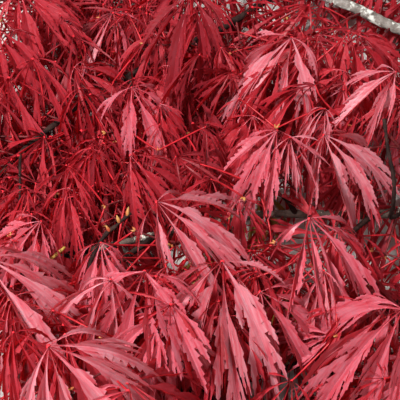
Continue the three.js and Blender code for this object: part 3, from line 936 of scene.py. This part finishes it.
def bendRod(shape, course, stations, radiusAt, relief):
    for v in shape.verts:
        share = v.co.z / stations
        along = Vector(course.heading(share))
        across = along.cross(Vector(up)).normalized()
        out = across * v.co.x + along.cross(across) * v.co.y
        centre = Vector(course.at(share))
        radius = radiusAt(share)
        skin = centre + out * radius
        height = noise.fractal(skin * rough["scale"], rough["fade"], rough["finer"], rough["layers"])
        height += rough["waves"] * noise.noise(skin * rough["waveScale"])
        v.co = centre + out * (radius + height * relief)


def growRod(name, rod, course, looks, nodes):
    # looks: the bark, and the cut wood where the thick end shows one
    stations = int(course.length / rod["step"])
    swellings = []
    for k in range(knots["count"]):
        place = (k + spread(*knots["shift"], 7, k, stations)) / knots["count"]
        swellings.append((place, spread(*knots["rise"], 8, k)))

    def radiusAt(share):
        radius = rod["thick"] + (rod["thin"] - rod["thick"]) * share
        away = [(share - place) * course.length / knots["length"] for place, _ in swellings]
        return radius * (1 + sum(size * math.exp(-(gap**2)) for gap, (_, size) in zip(away, swellings)))

    shape, firstCap = straightRod(rod["sides"], stations)
    if len(looks) > 1:
        bmesh.ops.inset_region(shape, faces=firstCap, thickness=rod["barkShare"])
        for face in firstCap:
            face.material_index = 1
    bendRod(shape, course, stations, radiusAt, rod["relief"])
    for v in shape.verts:
        v.co = toFrame(v.co)
    mesh = bpy.data.meshes.new(name)
    shape.to_mesh(mesh)
    shape.free()
    for look in looks:
        mesh.materials.append(skins[look])
    mesh.polygons.foreach_set("use_smooth", np.array([p.material_index == 0 for p in mesh.polygons]))
    piece = bpy.data.objects.new(name, mesh)
    bpy.context.scene.collection.objects.link(piece)
    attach(piece, "root")
    if nodes:
        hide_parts(*nodes)
    print(name, len(mesh.polygons), "faces")


rods = {
    "stemBark": ("stem", ["greyBark", "cutWood"], "grey_bark"),
    "longBough": ("long_bough", ["mottledBark"], "dark_bark"),
    "frontBough": ("front_bough", ["darkBark"], "dark_bark"),
    "backBough": ("back_bough", ["darkBark"], "dark_bark"),
}
for name, (node, looks, slotName) in rods.items():
    growRod(name, limbs[node], courses[node], looks, [node])
print("limbs grown")


tubeEnd = 0.7  # the first and last ring of a tube are this much narrower


def growTubes(name, courseList, stations, sides, look, replaced=()):
    heap = Heap()
    for course, thick, thin in courseList:
        shares = np.linspace(0, 1, stations)
        radii = thick + (thin - thick) * shares
        radii[-1] *= tubeEnd
        radii[0] *= tubeEnd
        heap.add(*makeTube(course.at(shares), radii, sides))
    piece = makePiece(name, heap, skins[look])
    if replaced:
        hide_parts(*replaced)


growTubes(
    "sideBoughs", [(course, sideBough["thick"], sideBough["thin"]) for course in sideBoughs],
    sideBough["stations"], sideBough["sides"], "darkBark",
    [n for n in frame["nodes"] if n.endswith("_side_bough")],
)
growTubes("twigs", twigs, fineTwig["stations"], fineTwig["sides"], "twigBark")


def stalkCourse(leaf):
    # a stalk arrives from behind its leaf
    normal = bladeFrame(leaf)[2]
    reach = np.linalg.norm(leaf["hub"] - leaf["root"])
    bend = leaf["hub"] - normal * reach * stalk["bend"] + up * stalk["arch"]
    return bentCourse(leaf["root"], bend, leaf["hub"], stalk["curveSteps"])


buds = {
    "length": 2.6, "radius": 0.72, "profile": [0.45, 0.92, 1, 0.84, 0.5, 0.12], "turn": 24, "from": -0.1,
    "varied": (1, 0.25), "aside": 0.6, "sides": 6, "spurSides": 8,
    # larger ones on the woody spur: place, heading, rise, length, radius
    "onSpur": [
        ((-38, -25, 91), 75, 1.2, 5.2, 1.1), ((-42, -27.5, 88.5), 120, 1.3, 4.6, 1.05),
        ((-47, -31, 85.5), 140, 1.2, 4.2, 1),
    ],
}
collar = {"places": (1, 0.7, 0.4), "length": 0.03, "radii": (1, 1.35, 1.1), "sides": 6}


def growBuds():
    # a pair of pointed buds at the end of each twig, and collars along it
    heap, collars = Heap(), Heap()
    outline = np.array(buds["profile"])
    steps = np.linspace(buds["from"], 1, len(outline))[:, None]
    for number, (course, thick, thin) in enumerate(twigs):
        tip, along = course.at(1), course.heading(1)
        side = unit(np.cross(along, up))
        for way in (1, -1):
            size = spread(*buds["varied"], number, way + 1, 95)
            turn = math.radians(buds["turn"] * way)
            lean = along * math.cos(turn) + side * math.sin(turn)
            points = tip + side * way * thin * buds["aside"] + lean * steps * buds["length"] * size
            heap.add(*makeTube(points, outline * buds["radius"] * size, buds["sides"]))
        for share in collar["places"]:
            points = course.at(share - collar["length"] * np.array([1, 0.5, 0]))
            radius = thick + (thin - thick) * share
            collars.add(*makeTube(points, radius * np.array(collar["radii"]), collar["sides"]))
    for place, heading, rise, length, radius in buds["onSpur"]:
        lean = unit(headingVector(heading) + up * rise)
        points = np.array(place) + lean * steps * length
        heap.add(*makeTube(points, outline * radius, buds["spurSides"]))
    makePiece("buds", heap, skins["budSkin"])
    makePiece("twigCollars", collars, skins["twigBark"])


growBuds()

# Bare woody twigs that the photo shows between the leaves: a short spur, a knobbly twig at the right, a
# thin upright one at the left and a young yellow one.
bareTwigs = {
    "woodySpur": {
        "course": [(-46, -62, 58), (-58, -46, 70), (-51, -33.5, 82.5), (-43, -28, 88), (-36, -23.7, 92)],
        "thick": 1.15, "thin": 0.85, "sides": 16, "step": 0.8, "relief": 0.42,
    },
    "knobTwig": {
        "course": [
            (122, 18, 34), (108, 2, 50), (106, -3, 70), (105, 4, 84), (101.6, 17, 94), (100, 32, 101),
        ],
        "thick": 1.25, "thin": 0.85, "sides": 16, "step": 1.0, "relief": 0.34,
    },
    "uprightTwig": {
        "course": [(-108, 50, 44), (-106, 46, 50), (-104, 32, 56), (-102, 16, 59), (-101, 3.6, 60)],
        "thick": 0.9, "thin": 0.6, "sides": 12, "step": 1.2, "relief": 0.14,
    },
}
yellowTwig = {
    "course": [(-84, -24, 46), (-90, -44, 68), (-82, -49, 80), (-70, -39.6, 84)],
    "thick": 1.2, "thin": 0.9, "stations": 30, "sides": 12,
}
for name, twig in bareTwigs.items():
    growRod(name, twig, courseThrough(twig["course"]), ["darkBark"], [])
growTubes(
    "yellowTwig", [(courseThrough(yellowTwig["course"]), yellowTwig["thick"], yellowTwig["thin"])],
    yellowTwig["stations"], yellowTwig["sides"], "youngBark",
)
stalkEnd = stalk["radius"] * stalk["thin"]
growTubes(
    "leafStalks", [(stalkCourse(leaf), stalk["radius"], stalkEnd) for leaf in leaves],
    stalk["stations"], stalk["sides"], "leafStalk",
)
print("twigs and stalks grown")

# Tints of the leaves: base colour, glow when the light comes through, sheen, and which share of the high
# and of the low leaves of the rule have it. The crimson and rose base colours are paler and pinker than
# the leaves' own red, as painted sheen of sunlit leaves; maroon is darker, as painted shade.
tints = {
    # paler pink base: painted sheen of sunlit leaves
    "leavesCrimsonSheen": {
        "colour": (0.6, 0.145, 0.205), "glow": (1, 0.012, 0.03), "sheen": 0.8, "high": 0.4, "low": 0.05,
    },
    # paler pink base: painted sheen of sunlit leaves
    "leavesRoseSheen": {
        "colour": (0.66, 0.25, 0.315), "glow": (1, 0.02, 0.04), "sheen": 0.85, "high": 0.22, "low": 0,
    },
    "leavesRuby": {
        "colour": (0.48, 0.036, 0.058), "glow": (0.9, 0.01, 0.024), "sheen": 0.3, "high": 0.3, "low": 0.44,
    },
    "leavesScarlet": {
        "colour": (0.5, 0.03, 0.05), "glow": (0.85, 0.012, 0.026), "sheen": 0.25, "high": 0.08, "low": 0.09,
    },
    # darker than the leaves' own red: painted shade for low leaves
    "leavesMaroonShade": {
        "colour": (0.31, 0.022, 0.036), "glow": (0.8, 0.009, 0.02), "sheen": 0.15, "high": 0, "low": 0.4,
    },
    "leavesOlive": {
        "colour": (0.42, 0.27, 0.07), "glow": (0.7, 0.4, 0.08), "sheen": 0.3, "high": 0, "low": 0.02,
    },
}
# hubs above this height get mostly the tints with painted sheen, lower ones the deeper tints with painted
# shade
highFrom = 97  # height of the hub
# These tints are partly painted light: paler ones with painted sheen on leaves in the sun, deeper ones with
# painted shade on leaves in the shade, as at top_left and top_centre.
tones = {  # tints of the listed leaves, in their order; a mass that isn't named here has rose ones
    "centre_left": ["leavesRoseSheen", "leavesCrimsonSheen"], "centre_front": ["leavesCrimsonSheen"],
    "front_middle": ["leavesRoseSheen", "leavesCrimsonSheen"], "right_front": ["leavesCrimsonSheen"],
    "right_edge": ["leavesCrimsonSheen"], "left_middle": ["leavesCrimsonSheen", "leavesRuby"],
    "centre_back": ["leavesRuby"], "middle": ["leavesCrimsonSheen", "leavesRuby", "leavesRoseSheen"],
    "right_back": ["leavesRoseSheen", "leavesScarlet", "leavesRuby"],
    "top_right": ["leavesRoseSheen", "leavesScarlet", "leavesScarlet"], "top_centre": ["leavesMaroonShade"],
    "left_back": ["leavesCrimsonSheen", "leavesRuby"], "top_left": ["leavesRuby", "leavesRuby", "leavesRuby"],
    "far_left": ["leavesRuby"],
}


def tintOf(leaf):
    # one tint for the leaves of a twig, by hub height: above highFrom mostly the paler tints with
    # painted sheen, below it the deeper tints with painted shade
    index, key = leaf["keys"]
    if key < firstPairKey:
        return tones.get(masses[index][0], ["leavesRoseSheen"])[key]
    shares = "high" if leaf["hub"][2] > highFrom else "low"
    pick = chance(index, key // keysEach, 91)
    for name, tint in tints.items():
        pick -= tint[shares]
        if pick < 0:
            return name
    return "leavesRuby"


heaps = {name: [Heap()] for name in tints}
# After this many corners a tint's leaves go on in a new piece. Its triangles are nearly twice as many.
mostPlaces = 75000
ribs, hubs = Heap(), Heap()
rib = {"width": 0.3, "tipWidth": 0.12, "sunk": 0.2, "rise": 1.1}
hub = {
    "radius": 0.8, "leafSize": 60, "sides": 6, "rings": [(0.7, -0.6), (1.1, -0.1), (0.8, 0.2)],
    "bottom": 0.8, "top": 0.24,
}
lists = {name: leafLists(level) for name, level in detail.items()}
hubFaces = tubeLists(len(hub["rings"]), hub["sides"])


def addRib(leaf, normal, lobe, line, lift):
    half = np.linspace(rib["width"], rib["tipWidth"], len(line))
    aside = line[:, 1] * lobe["length"]
    rows = []
    for way, rise in ((-1, 0), (1, 0), (0, rib["rise"])):
        height = lift + rise * half - rib["sunk"]
        rows.append(lobeSurface(leaf, lobe, normal, line[:, 0], aside + way * half, height))
    places = np.stack(rows, axis=1).reshape(-1, 3)
    ends = [places[:3].mean(0)[None], places[-3:].mean(0)[None]]
    ribs.add(np.concatenate([places, *ends]), tubeLists(len(line), 3))


def addHub(leaf, normal):
    radius = hub["radius"] * leaf["size"] / hub["leafSize"]
    turn = np.arange(hub["sides"]) * 2 * math.pi / hub["sides"]
    ahead, side, _ = bladeFrame(leaf)
    ring = ahead * np.cos(turn)[:, None] + side * np.sin(turn)[:, None]
    rows = [leaf["hub"] + ring * radius * w + normal * h for w, h in hub["rings"]]
    ends = [leaf["hub"] - normal * hub["bottom"], leaf["hub"] + normal * hub["top"]]
    hubs.add(np.concatenate([*rows, ends]), hubFaces)


for leaf in leaves:
    levelName = levelOf(leaf)
    places, marks, ribLines, normal = makeBlade(leaf, detail[levelName])
    tintHeaps = heaps[tintOf(leaf)]
    if tintHeaps[-1].count > mostPlaces:
        tintHeaps.append(Heap())
    faces, sharp = lists[levelName]
    tintHeaps[-1].add(places, faces, marks, sharp)
    for line in ribLines:
        addRib(leaf, normal, *line)
    addHub(leaf, normal)

foliageNodes = [n for n in frame["nodes"] if n.endswith("_foliage")]
for name, tint in tints.items():
    material = leafMaterial(name, tint["colour"], tint["glow"], tint["sheen"])
    for number, heap in enumerate(heaps[name]):
        piece = makePiece(name + (str(number + 1) if number else ""), heap, material)
        if piece.name == "leavesCrimsonSheen":
            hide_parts(*foliageNodes)
makePiece("leafRibs", ribs, skins["ribSkin"])
makePiece("leafHubs", hubs, skins["hubSkin"])
print("leaves grown")

# Floor, light and camera.
ground = {"halfWidth": 12, "sunk": 0.0005, "colour": (0.5, 0.49, 0.465), "roughness": 0.85}
floorMesh = bpy.data.meshes.new("floor")
floorShape = bmesh.new()
bmesh.ops.create_grid(floorShape, x_segments=1, y_segments=1, size=ground["halfWidth"])
floorShape.to_mesh(floorMesh)
floorShape.free()
floor = bpy.data.objects.new("floor", floorMesh)
floor.location.z = -ground["sunk"]
bpy.context.scene.collection.objects.link(floor)
floorMaterial, _, _, floorShader = newMaterial("floorPale")
floorShader.inputs["Base Color"].default_value = (*ground["colour"], 1)
floorShader.inputs["Roughness"].default_value = ground["roughness"]
floorMesh.materials.append(floorMaterial)

lights = {
    "key": {"place": (-520, -150, 1090), "size": 0.2, "watts": 27.4, "colour": (1, 0.97, 0.96)},
    "fill": {"place": (420, -760, 640), "size": 1.3, "watts": 5.5, "colour": (1, 0.96, 0.95)},
    "rim": {"place": (250, 900, 800), "size": 1.4, "watts": 3, "colour": (1, 0.98, 0.97)},
}
room = {"colour": (0.93, 0.95, 1), "strength": 0.08}


def planPoint(point):
    return Vector(toFrame(np.array(point, float)))


def aim(thing, place, target):
    thing.location = place
    thing.rotation_euler = (target - place).to_track_quat("-Z", "Y").to_euler()


for name, light in lights.items():
    lamp = bpy.data.lights.new(name, "AREA")
    lamp.size = light["size"]
    lamp.energy = light["watts"]
    lamp.color = light["colour"]
    lampObject = bpy.data.objects.new(name, lamp)
    bpy.context.scene.collection.objects.link(lampObject)
    aim(lampObject, planPoint(light["place"]), planPoint(view["target"]))

world = bpy.data.worlds.new("softRoom")
world.use_nodes = True
background = world.node_tree.nodes["Background"]
background.inputs["Color"].default_value = (*room["colour"], 1)
background.inputs["Strength"].default_value = room["strength"]
bpy.context.scene.world = world

camera = bpy.data.cameras.new("camera")
camera.sensor_width = view["sensor"]
camera.lens = view["sensor"] / 2 * view["distance"] / view["halfWidth"]
cameraObject = bpy.data.objects.new("camera", camera)
bpy.context.scene.collection.objects.link(cameraObject)
aim(cameraObject, planPoint(eye), planPoint(view["target"]))
bpy.context.scene.camera = cameraObject
bpy.context.scene.view_settings.view_transform = "Standard"
print("lights and camera set")
